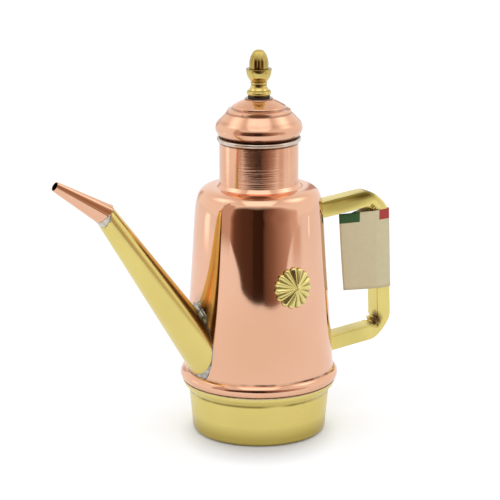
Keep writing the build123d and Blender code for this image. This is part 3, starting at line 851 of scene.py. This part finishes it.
brassTube = metalFinish("brassTube", {
    "tone": (0.82, 0.70, 0.24), "shade": (0.74, 0.60, 0.185), "cloud": 40,
    "lines": (120, 700, 120), "lineDepth": 0.14, "lineHeight": 0.03, "rough": 0.19, "smudge": 0.07,
    # painted shade in the crumpled pleats inside the two bends
    "stainsAndShade": [{"at": (86.2, -4, 61.5), "grain": 420, "ragged": 3, "inner": 4.6, "outer": 8.2, "share": 0.95,
                "tone": (0.13, 0.07, 0.025)},
               {"at": (83.8, -3.5, 133.6), "grain": 420, "ragged": 3, "inner": 3.8, "outer": 6.8,
                "share": 0.95, "tone": (0.13, 0.07, 0.025)},
               # painted reflection: the upper arm's front face darker
               {"at": (62, -6.4, 143.8), "stretch": (3.0, 0.08, 0.6), "turn": armTurn, "grain": 70,
                "ragged": 3, "inner": 6, "outer": 11, "share": 0.75, "tone": (0.40, 0.32, 0.075)},
               # painted reflection: dark band under the upper arm's top edge
               {"at": (61, -6.0, 147.4), "stretch": (3.2, 0.20, 0.13), "turn": armTurn, "grain": 70,
                "ragged": 2, "inner": 7, "outer": 10.5, "share": 0.88, "tone": (0.20, 0.15, 0.02)},
               # painted reflection: dark wedge running into the upper bend
               {"at": (76, -6.5, 147.6), "stretch": (2.2, 1, 0.45), "turn": armTurn, "grain": 90, "ragged": 3,
                "inner": 3.0, "outer": 9.0, "share": 0.92, "tone": (0.12, 0.085, 0.012)},
               # soft darker patch on the lower arm's top face
               {"at": (66, 1, 57), "grain": 60, "ragged": 8, "inner": 8, "outer": 22, "share": 0.45,
                "tone": (0.42, 0.33, 0.08)}],
})


def straightRun(start, end, way):  # path points from start up to end, end left out
    count = max(2, int((end - start).length / handle["rows"]))
    return [(start.lerp(end, k / count), way, None) for k in range(count)]


def handlePath():
    # list of (point, way, share of a bend or None)
    corners = [lowFoot - armWay * handle["sunk"], gripLow, gripHigh, highFoot - armWay * handle["sunk"]]
    path, start = [], corners[0]
    for a, b, c in zip(corners, corners[1:], corners[2:]):
        back, on = (a - b).normalized(), (c - b).normalized()
        half = back.angle(on) / 2
        run = handle["bend"] / math.tan(half)
        middle = b + (back + on).normalized() * (handle["bend"] / math.sin(half))
        path += straightRun(start, b + back * run, -back)[1 if path else 0:]
        for k, p in enumerate(arcLine(middle, b + back * run, b + on * run, handle["bendSteps"])):
            spoke = (p - middle).normalized()
            path.append((p, Vector((-spoke.y, spoke.x)), k / handle["bendSteps"]))
        start = path[-1][0]
    way = (corners[-1] - start).normalized()
    return path + straightRun(start, corners[-1], way)[1:] + [(corners[-1], way, None)]


def handleSection():
    # (across, out) round the square tube, out is away from the middle of the D
    w, h = handle["width"] / 2, handle["thick"] / 2
    o, i = handle["outerRound"], handle["innerRound"]
    loop = roundedLine([(0, h), (w, h, o), (w, -h, i), (-w, -h, i), (-w, h, o), (0, h)], 7, 1.1)
    full = handle["pillow"]  # the drawn faces stand out a little in their middle
    return [Vector((a + full * a / w * (1 - (b / h) ** 2), b + full * b / h * (1 - (a / w) ** 2)))
            for a, b in loop[:-1]]


def pleated(across, out, share, seed):
    # creases inside a bend, and its outer wall drawn in: shift along (across, out)
    if share is None:
        return 0, 0
    window = math.exp(-((share - 0.5) / handle["pleatSpan"]) ** 2)
    inside = within((handle["pleatFrom"] - out) / handle["pleatFade"])
    ripple = 0.6 * math.sin(share * fullTurn * handle["pleats"] + seed)
    ripple += 0.6 * noise.noise(Vector((across * 0.35, out * 0.5, share * 9 + seed)))
    dent = handle["pleatDepth"] * window * inside
    push = dent * (0.75 + 0.7 * ripple) * inside if abs(across) > handle["pleatSide"] else 0
    lift = dent * (0.5 + ripple) * (1 if out < handle["pleatFace"] else handle["sideLift"])
    flat = handle["flatten"] * math.sin(math.pi * share) ** 2 * max(0, 2 * out / handle["thick"])
    return -math.copysign(push, across), lift - flat


def buildHandle():
    section = handleSection()
    rings = []
    for p, way, share in handlePath():
        out = Vector((way.y, -way.x))
        seed = handle["lowSeed" if p.y < (handle["low"] + handle["high"]) / 2 else "highSeed"]
        ring = []
        for across, rise in section:
            push, lift = pleated(across, rise, share, seed)
            q = p + out * (rise + lift)
            ring.append(Vector((q.x, across + push, q.y)))
        rings.append(ring)
    arm = Vector((armWay.x, 0, armWay.y))
    for ring in (rings[0], rings[-1]):  # ends lie on the body's side
        for k, p in enumerate(ring):
            ring[k] = p + arm * findAlong(lambda s: clearOfVessel(p + arm * s), *armSpan)
    rows = rowsOf(len(rings), len(section))
    faces = skin(rows) + [tuple(reversed(rows[0])), tuple(rows[-1])]
    return makePiece("handleTube", "handle", "vessel", [tuple(p) for ring in rings for p in ring], faces)


handleTube = buildHandle()
dress(handleTube, brassTube)
print("handle built")

# rosette: stamped flower with radiating petals, lying on the body's side
flower = {"height": 104.6, "radius": 13.4, "petals": 15, "edge": 0.6, "crest": 4.4, "fall": 1.9, "depth": 1.9,
          "crestRound": 0.30, "lipFrom": 0.90, "notch": 0.13, "bossRise": 0.4, "bossRadius": 3.0,
          "back": 0.4, "backIn": 0.25, "rings": 26, "turnsPerPetal": 14}
flowerRadius = bodyRadius(flower["height"])
flowerMiddle = Vector((0, -flowerRadius, flower["height"]))
flowerUp = Vector((0, math.sin(lean), math.cos(lean)))
flowerOut = Vector((0, -math.cos(lean), math.sin(lean)))
petalPitch = fullTurn / flower["petals"]
brassStamped = metalFinish("brassStamped", {
    "tone": (0.86, 0.77, 0.33), "shade": (0.74, 0.62, 0.21), "cloud": 160,
    "lines": (500, 500, 500), "lineDepth": 0.20, "lineHeight": 0.05, "rough": 0.20, "smudge": 0.10,
    # painted shade along the valleys between the petals
    "rays": [{"foot": flowerMiddle, "across": (1, 0, 0), "up": flowerUp, "count": flower["petals"],
              "at": (math.pi + petalPitch) / 2, "inner": 0.05, "outer": 0.24, "share": 0.8,
              "starts": (3.5, 8.0), "tone": (0.22, 0.16, 0.03)}],
})


def flowerPoint(turn, reach, rise):
    across = reach * math.cos(turn)
    fall = flowerRadius - math.sqrt(flowerRadius * flowerRadius - across * across)
    up = flowerUp * (reach * math.sin(turn))
    return flowerMiddle + Vector((across, 0, 0)) + up + flowerOut * (rise - fall)


def petalRise(turn, share):
    off = 2 * abs(((turn - math.pi / 2) / petalPitch + 0.5) % 1 - 0.5)  # 0 on a crest
    soft = flower["crestRound"]
    side = (math.hypot(off, soft) - soft) / (math.hypot(1, soft) - soft)
    rise = flower["crest"] - flower["fall"] * share ** 1.6 - flower["depth"] * share * side
    lip = max(0, (share - flower["lipFrom"]) / (1 - flower["lipFrom"]))
    boss = flower["bossRise"] * max(0, 1 - (share * flower["radius"] / flower["bossRadius"]) ** 2)
    return rise - (rise - flower["edge"]) * lip ** 2 + boss


def petalReach(turn, share):  # notched between the petals
    full = abs(math.cos((turn - math.pi / 2) * flower["petals"] / 2))
    return flower["radius"] * share * (1 - flower["notch"] * share ** 3 * (1 - full ** 0.7))


def buildFlower():
    count = flower["petals"] * flower["turnsPerPetal"]
    turns = [fullTurn * k / count for k in range(count)]
    shares = [(i + 1) / flower["rings"] for i in range(flower["rings"])]
    rings = [[flowerPoint(t, petalReach(t, s), petalRise(t, s)) for t in turns] for s in shares]
    rings.append([flowerPoint(t, petalReach(t, 1) - flower["backIn"], flower["back"]) for t in turns])
    verts = [tuple(p) for ring in rings for p in ring]
    rows = rowsOf(len(rings), count)
    front, back = len(verts), len(verts) + 1
    verts.append(tuple(flowerPoint(0, 0, flower["crest"] + flower["bossRise"])))
    verts.append(tuple(flowerPoint(0, 0, flower["back"])))
    faces = [(front, rows[0][k], rows[0][(k + 1) % count]) for k in range(count)] + skin(rows)
    faces += [(back, rows[-1][(k + 1) % count], rows[-1][k]) for k in range(count)]
    return makePiece("rosetteFlower", "rosette", "vessel", verts, flipped(faces))


rosetteFlower = buildFlower()
dress(rosetteFlower, brassStamped)
print("rosette built")

# paper tag folded round the grip, its ends stuck together towards the body
tag = {"low": 83.0, "height": 52.5, "sheet": 0.35, "clear": 0.2, "reach": 24.3, "turn": 15.5, "flap": 8.0,
       "joinGap": 0.45, "endGap": 0.42, "backRound": 1.0, "rows": 22, "curl": 0.5, "curlFrom": 8.0,
       "curlSpan": 20.0, "band": 6.6, "skew": 0.034, "skewFrom": 62.0, "slew": 0.05, "slewFrom": 5.4}


def tagLine():
    # open line of the outer face, (out from the grip's middle, across)
    sideY = handle["width"] / 2 + tag["clear"] + tag["sheet"]
    faceX = handle["thick"] / 2 + tag["clear"] + tag["sheet"]
    backX = tag["sheet"] - faceX
    way = Vector((-math.cos(math.radians(tag["turn"])), math.sin(math.radians(tag["turn"]))))
    corner = Vector((backX, -sideY))
    end = corner + way * tag["reach"]
    join = end - way * tag["flap"]
    lap = handle["outerRound"] + tag["sheet"]
    return roundedLine([end, corner, (faceX, -sideY, lap), (faceX, sideY, lap),
                        (backX, sideY, tag["backRound"]), join + Vector((0, tag["joinGap"])),
                        end + Vector((0, tag["endGap"]))], 7, 1.6)


def tagPoint(p, way, depth, share):
    # p on the outer line, depth into the card, share of the height
    z = tag["low"] + tag["height"] * share
    middle = gripLow + gripWay * ((z - gripLow.y) / gripWay.y)
    q = p + Vector((-way.y, way.x)) * depth
    free = max(0, (-q.x - tag["curlFrom"]) / tag["curlSpan"])  # only the free flap curls
    q.x -= max(0, -q.x - tag["slewFrom"]) * tag["slew"] * (2 * share - 1)  # side edge cut out of square
    bendY = tag["curl"] * free * free * math.sin(share * math.pi * 0.9 + 0.4)
    x = middle.x + q.x
    return x, q.y + bendY, z + tag["skew"] * share * (x - tag["skewFrom"])  # top edge cut out of square


def buildTag():
    line = tagLine()
    size = len(line)
    ways = [(line[min(k + 1, size - 1)] - line[max(k - 1, 0)]).normalized() for k in range(size)]
    section = [(p, way, 0.0) for p, way in zip(line, ways)]
    section += [(p, way, tag["sheet"]) for p, way in zip(line[::-1], ways[::-1])]
    shares = [i / tag["rows"] for i in range(tag["rows"] + 1)]
    verts = [tagPoint(*spot, share) for share in shares for spot in section]
    rows = rowsOf(len(shares), len(section))
    low, high = ([(row[k], row[-1 - k], row[-2 - k], row[k + 1]) for k in range(size - 1)]
                 for row in (rows[0], rows[-1]))  # the card's cut edges
    return makePiece("paperTag", "tag", "vessel", verts, skin(rows) + low + flipped(high))


def cardFinish(name, look):
    mat, tree, shader = startFinish(name)
    shader.inputs["Roughness"].default_value = look["rough"]
    shader.inputs["Specular IOR Level"].default_value = look["sheen"]
    fibres = placedNoise(tree, (look["fibre"],) * 3, 5.0)
    tone = mixTone(tree, spread(tree, fibres, 0, 1), look["tone"], look["shade"])
    place = axesOf(tree, objectPlace(tree))
    # height square to the cut edge
    level = addMath(tree, "MULTIPLY_ADD", place["X"], -tag["skew"], place["Z"])
    bandFoot = tag["low"] + tag["height"] - tag["band"] - tag["skew"] * tag["skewFrom"]
    inBand = addMath(tree, "GREATER_THAN", level, bandFoot * mm)
    for side, limit, dye in look["dyes"]:
        beyond = addMath(tree, side, place["X"], limit * mm)
        tone = mixTone(tree, addMath(tree, "MULTIPLY", beyond, inBand), tone, dye)
    feed(tree, shader.inputs["Base Color"], tone)
    addBump(tree, shader, fibres, look["depth"], look["height"])
    return mat


cardStock = cardFinish("cardStock", {
    "tone": (0.70, 0.62, 0.40), "shade": (0.67, 0.585, 0.37), "fibre": 260, "rough": 0.72, "sheen": 0.25,
    "depth": 0.2, "height": 0.05,
    "dyes": [("LESS_THAN", 74.5, (0.04, 0.11, 0.035)), ("GREATER_THAN", 87.8, (0.45, 0.06, 0.055))],
})
paperTag = buildTag()
dress(paperTag, cardStock)
print("tag built")

# the other solids keep their shape and take a finish
cadFinishes = {
    "foot_bead_solder": lipSolder, "neck_solder": copperBraze, "handle_low_solder": brassBraze,
    "handle_high_solder": brassBraze, "rosette_solder": softSolder, "lid_sleeve": copperTurned,
    "lid_sleeve_solder": softSolder, "knob_washer": darkGapWasher, "knob_screw": plainSteel,
    "screw_washer": plainSteel,
}
for nodeName, finish in cadFinishes.items():
    part = nodes[nodeName]
    part.data.materials.clear()
    part.data.materials.append(finish)
    part.data.shade_smooth()
    part.data.set_sharp_from_angle(angle=math.radians(sharpOver))
print("solids dressed")

# floor, cards and lamps of the studio, metres
studio = {
    "floorHalf": 6.0, "floorTone": (0.865, 0.88, 0.91), "floorGlow": 0.29, "floorMirror": 0.18,
    "shadeForward": 0.016, "shadeStretch": 1.22, "shadeReach": (0.028, 0.052), "worldLight": 0.88,
    "cardFar": 0.52, "cardLeft": -1.5, "cardStep": (0.05, 0.45), "cardRight": 1.6,
    "cardLow": 0.028, "cardLowRight": 0.004, "cardFade": 0.36, "cardHigh": 0.58, "aimHeight": 0.15,
    "lampAim": (0, 0, 0.12),
    "roof": [(0.30, (1, 1, 1)), (0.62, (0.95, 0.92, 0.89)), (0.82, (0.86, 0.81, 0.76)),
             (1.0, (0.82, 0.76, 0.70))],
}


def stageMesh(name, corners):
    mesh = bpy.data.meshes.new(name)
    mesh.from_pydata([tuple(c) for c in corners], [], [tuple(range(len(corners)))])
    mesh.update()
    piece = linked(name, mesh)
    return piece


def onlyInGloss(piece):  # seen in polished metal, and nowhere else
    for ray in ("camera", "diffuse", "shadow", "transmission", "volume_scatter"):
        setattr(piece, "visible_" + ray, False)


def startGlow(name):  # material without its standard shader, and the socket to fill
    mat, tree, shader = startFinish(name)
    tree.nodes.remove(shader)
    return mat, tree, tree.nodes["Material Output"].inputs["Surface"]


def fadedGlow(tree, surface, share, **glow):  # share of a glow over clear
    light = addNode(tree, "Emission", **glow).outputs["Emission"]
    clear = addNode(tree, "BsdfTransparent").outputs["BSDF"]
    feed(tree, surface, addMix(tree, "MixShader", share, clear, light))


def warm(light):  # dim cards are warm
    return (light, light * (0.45 + 0.5 * light), light * (0.25 + 0.65 * light))


def toneRamp(tree, share, stops):
    ramp = addNode(tree, "ValToRGB", Fac=share)
    while len(ramp.color_ramp.elements) < len(stops):
        ramp.color_ramp.elements.new(0.5)
    for stop, (where, tone) in zip(ramp.color_ramp.elements, stops):
        stop.position = where
        stop.color = (*tone, 1)
    return ramp.outputs["Color"]


half = studio["floorHalf"]
floor = stageMesh("paleFloor", [(-half, -half, 0), (half, -half, 0), (half, half, 0), (-half, half, 0)])
mat, tree, surface = startGlow("paleFloor")
rays = addNode(tree, "LightPath").outputs
away = spotReach(tree, flatAim * -studio["shadeForward"], (0, 0, viewTurn), (1, studio["shadeStretch"], 1))
lifted = spread(tree, away, 0, studio["floorGlow"], *studio["shadeReach"])  # painted shadow: the glow is held back in an ellipse forward of the foot, over the floor's own shadow
seen = addMath(tree, "MULTIPLY", rays["Is Camera Ray"], lifted)
level = addMath(tree, "MULTIPLY_ADD", rays["Is Glossy Ray"], studio["floorMirror"], seen)
cloth = addNode(tree, "BsdfDiffuse", Color=(*studio["floorTone"], 1)).outputs["BSDF"]
glow = addNode(tree, "Emission", Strength=level).outputs["Emission"]
feed(tree, surface, addMix(tree, "AddShader", cloth, glow))
floor.data.materials.append(mat)

# card in front of the object, dark where the camera stands: metres to the right, then its light
cardStops = [
    (-1.5, 0.75), (-0.90, 0.60), (-0.67, 0.52), (-0.60, 0.42), (-0.53, 0.24), (-0.47, 0.15), (-0.30, 0.10),
    (-0.10, 0.075), (-0.085, 0.045), (0.055, 0.035), (0.075, 0.09), (0.11, 0.15), (0.22, 0.24), (0.34, 0.37),
    (0.51, 0.49), (0.77, 0.62), (1.3, 0.74), (1.6, 0.82),
]
cardLeft, cardRight = studio["cardLeft"], studio["cardRight"]
cardOutline = [(cardLeft, studio["cardLow"]), (studio["cardStep"][0], studio["cardLow"]),
               (studio["cardStep"][1], studio["cardLowRight"]), (cardRight, studio["cardLowRight"]),
               (cardRight, studio["cardHigh"]), (cardLeft, studio["cardHigh"])]
tentFront = stageMesh("tentFront", [flatAim * -studio["cardFar"] + rightWay * sideways + Vector((0, 0, z))
                                    for sideways, z in cardOutline])
onlyInGloss(tentFront)
mat, tree, surface = startGlow("tentFront")
across = addMath(tree, "DOT_PRODUCT", objectPlace(tree), rightWay, kind="VectorMath")
tones = toneRamp(tree, spread(tree, across, 0, 1, cardLeft, cardRight),
                 [((where - cardLeft) / (cardRight - cardLeft), warm(light)) for where, light in cardStops])
high = axesOf(tree, objectPlace(tree))["Z"]
fadedGlow(tree, surface, spread(tree, high, 1, 0, studio["cardFade"], studio["cardHigh"]), Color=tones)
tentFront.data.materials.append(mat)

# panels seen only in the polish: turn from the camera's side, then a leaning or an upright place
panels = [
    {"name": "overhead", "turn": 0, "far": 1.0, "wide": 0.90, "rise": 67, "tall": 1.02,
     "light": 1.4, "soft": 0.16},
    {"name": "leftSide", "turn": -98, "far": 1.0, "wide": 0.90, "rise": 48, "tall": 0.75,
     "light": 1.7, "soft": 0.5},
    {"name": "rightSide", "turn": 102, "far": 1.0, "wide": 0.90, "rise": 47, "tall": 0.75,
     "light": 1.8, "soft": 0.5},
    {"name": "leftWindow", "turn": -101, "far": 0.60, "wide": 0.20, "span": (0.01, 0.12),
     "light": 1.5, "soft": 0.35},
    {"name": "leftCard", "turn": -58, "far": 0.45, "wide": 0.15, "span": (0.056, 0.45),
     "light": 0.62, "soft": 0.08},
    {"name": "rightWindow", "turn": 96, "far": 0.80, "wide": 0.06, "span": (0, 0.08),
     "light": 1.35, "soft": 0.15},
    {"name": "rightFlag", "turn": 66, "far": 0.50, "wide": 0.26, "span": (0.02, 0.125),
     "light": 0.74, "soft": 0.4},
    {"name": "leftPole", "turn": -64.5, "far": 0.80, "wide": 0.045, "span": (0, 0.90),
     "light": 0.18, "soft": 0.15},
    {"name": "backPole", "turn": 168, "far": 0.90, "wide": 0.20, "span": (0, 0.60),
     "light": 0.55, "soft": 0.3},
    {"name": "backDoor", "turn": -150, "far": 0.85, "wide": 0.34, "span": (0.02, 0.50),
     "light": 0.68, "soft": 0.45},
]


def panelCorners(panel):
    swing = math.radians(panel["turn"])
    flat = flatAim * -math.cos(swing) + rightWay * math.sin(swing)
    edge = Vector((flat.y, -flat.x, 0)) * (panel["wide"] / 2)
    if "span" in panel:
        low, high = (flat * panel["far"] + Vector((0, 0, z)) for z in panel["span"])
    else:
        rise = math.radians(panel["rise"])
        out = flat * math.cos(rise) + Vector((0, 0, math.sin(rise)))
        middle = out * panel["far"] + Vector((0, 0, studio["aimHeight"]))
        lift = (Vector((0, 0, math.cos(rise))) - flat * math.sin(rise)) * (panel["tall"] / 2)
        low, high = middle - lift, middle + lift
    return [low - edge, low + edge, high + edge, high - edge]


def softEdges(tree, width):  # 1 over a panel, falling to 0 at its edges
    place = axesOf(tree, addNode(tree, "TexCoord").outputs["UV"])
    fades = []
    for side in "XY":
        near = addMath(tree, "PINGPONG", place[side], 0.5)
        fade = addNode(tree, "MapRange", interpolation_type="SMOOTHSTEP", Value=near, From_Max=width)
        fades.append(fade.outputs["Result"])
    return addMath(tree, "MULTIPLY", *fades)


for panel in panels:
    board = stageMesh(panel["name"], panelCorners(panel))
    corners = board.data.uv_layers.new(name="corners")
    for spot, uv in zip(corners.data, ((0, 0), (1, 0), (1, 1), (0, 1))):
        spot.uv = uv
    onlyInGloss(board)
    mat, tree, surface = startGlow(panel["name"])
    light = panel["light"]
    tone = warm(light) if light < 1 else (1, 1, 1)
    fadedGlow(tree, surface, softEdges(tree, panel["soft"]), Strength=max(light, 1), Color=(*tone, 1))
    board.data.materials.append(mat)

lamps = [
    {"name": "topSoftbox", "at": (-0.20, -0.42, 1.05), "size": (0.62, 0.62), "power": 0.7},
    {"name": "leftSoftbox", "at": (-0.95, 0.15, 0.45), "size": (0.5, 0.6), "power": 0.35},
]
for lamp in lamps:
    light = linked(lamp["name"], bpy.data.lights.new(lamp["name"], "AREA"))
    light.data.shape = "RECTANGLE"
    light.data.size, light.data.size_y = lamp["size"]
    light.data.energy = lamp["power"]
    light.location = lamp["at"]
    lampWay = Vector(studio["lampAim"]) - light.location
    light.rotation_euler = lampWay.to_track_quat("-Z", "Y").to_euler()
    light.visible_camera = False
    light.visible_glossy = False  # the panels stand for the lamps in the polish

# white tent all round, with a dimmer roof in the polish
world = bpy.data.worlds.new("whiteTent")
bpy.context.scene.world = world
world.use_nodes = True
tree = world.node_tree
tree.nodes.clear()
rays = addNode(tree, "LightPath").outputs
seen = addMath(tree, "MAXIMUM", rays["Is Camera Ray"], rays["Is Glossy Ray"])
shown = addMath(tree, "MAXIMUM", seen, rays["Is Transmission Ray"])
high = axesOf(tree, addNode(tree, "TexCoord").outputs["Generated"])["Z"]
roof = toneRamp(tree, high, studio["roof"])
sky = addNode(tree, "Background", Color=mixTone(tree, rays["Is Glossy Ray"], (1, 1, 1), roof),
              Strength=spread(tree, shown, studio["worldLight"], 1.0, 0, 1))
addNode(tree, "OutputWorld", Surface=sky.outputs["Background"])
bpy.context.scene.view_settings.view_transform = "Standard"
print("studio set")
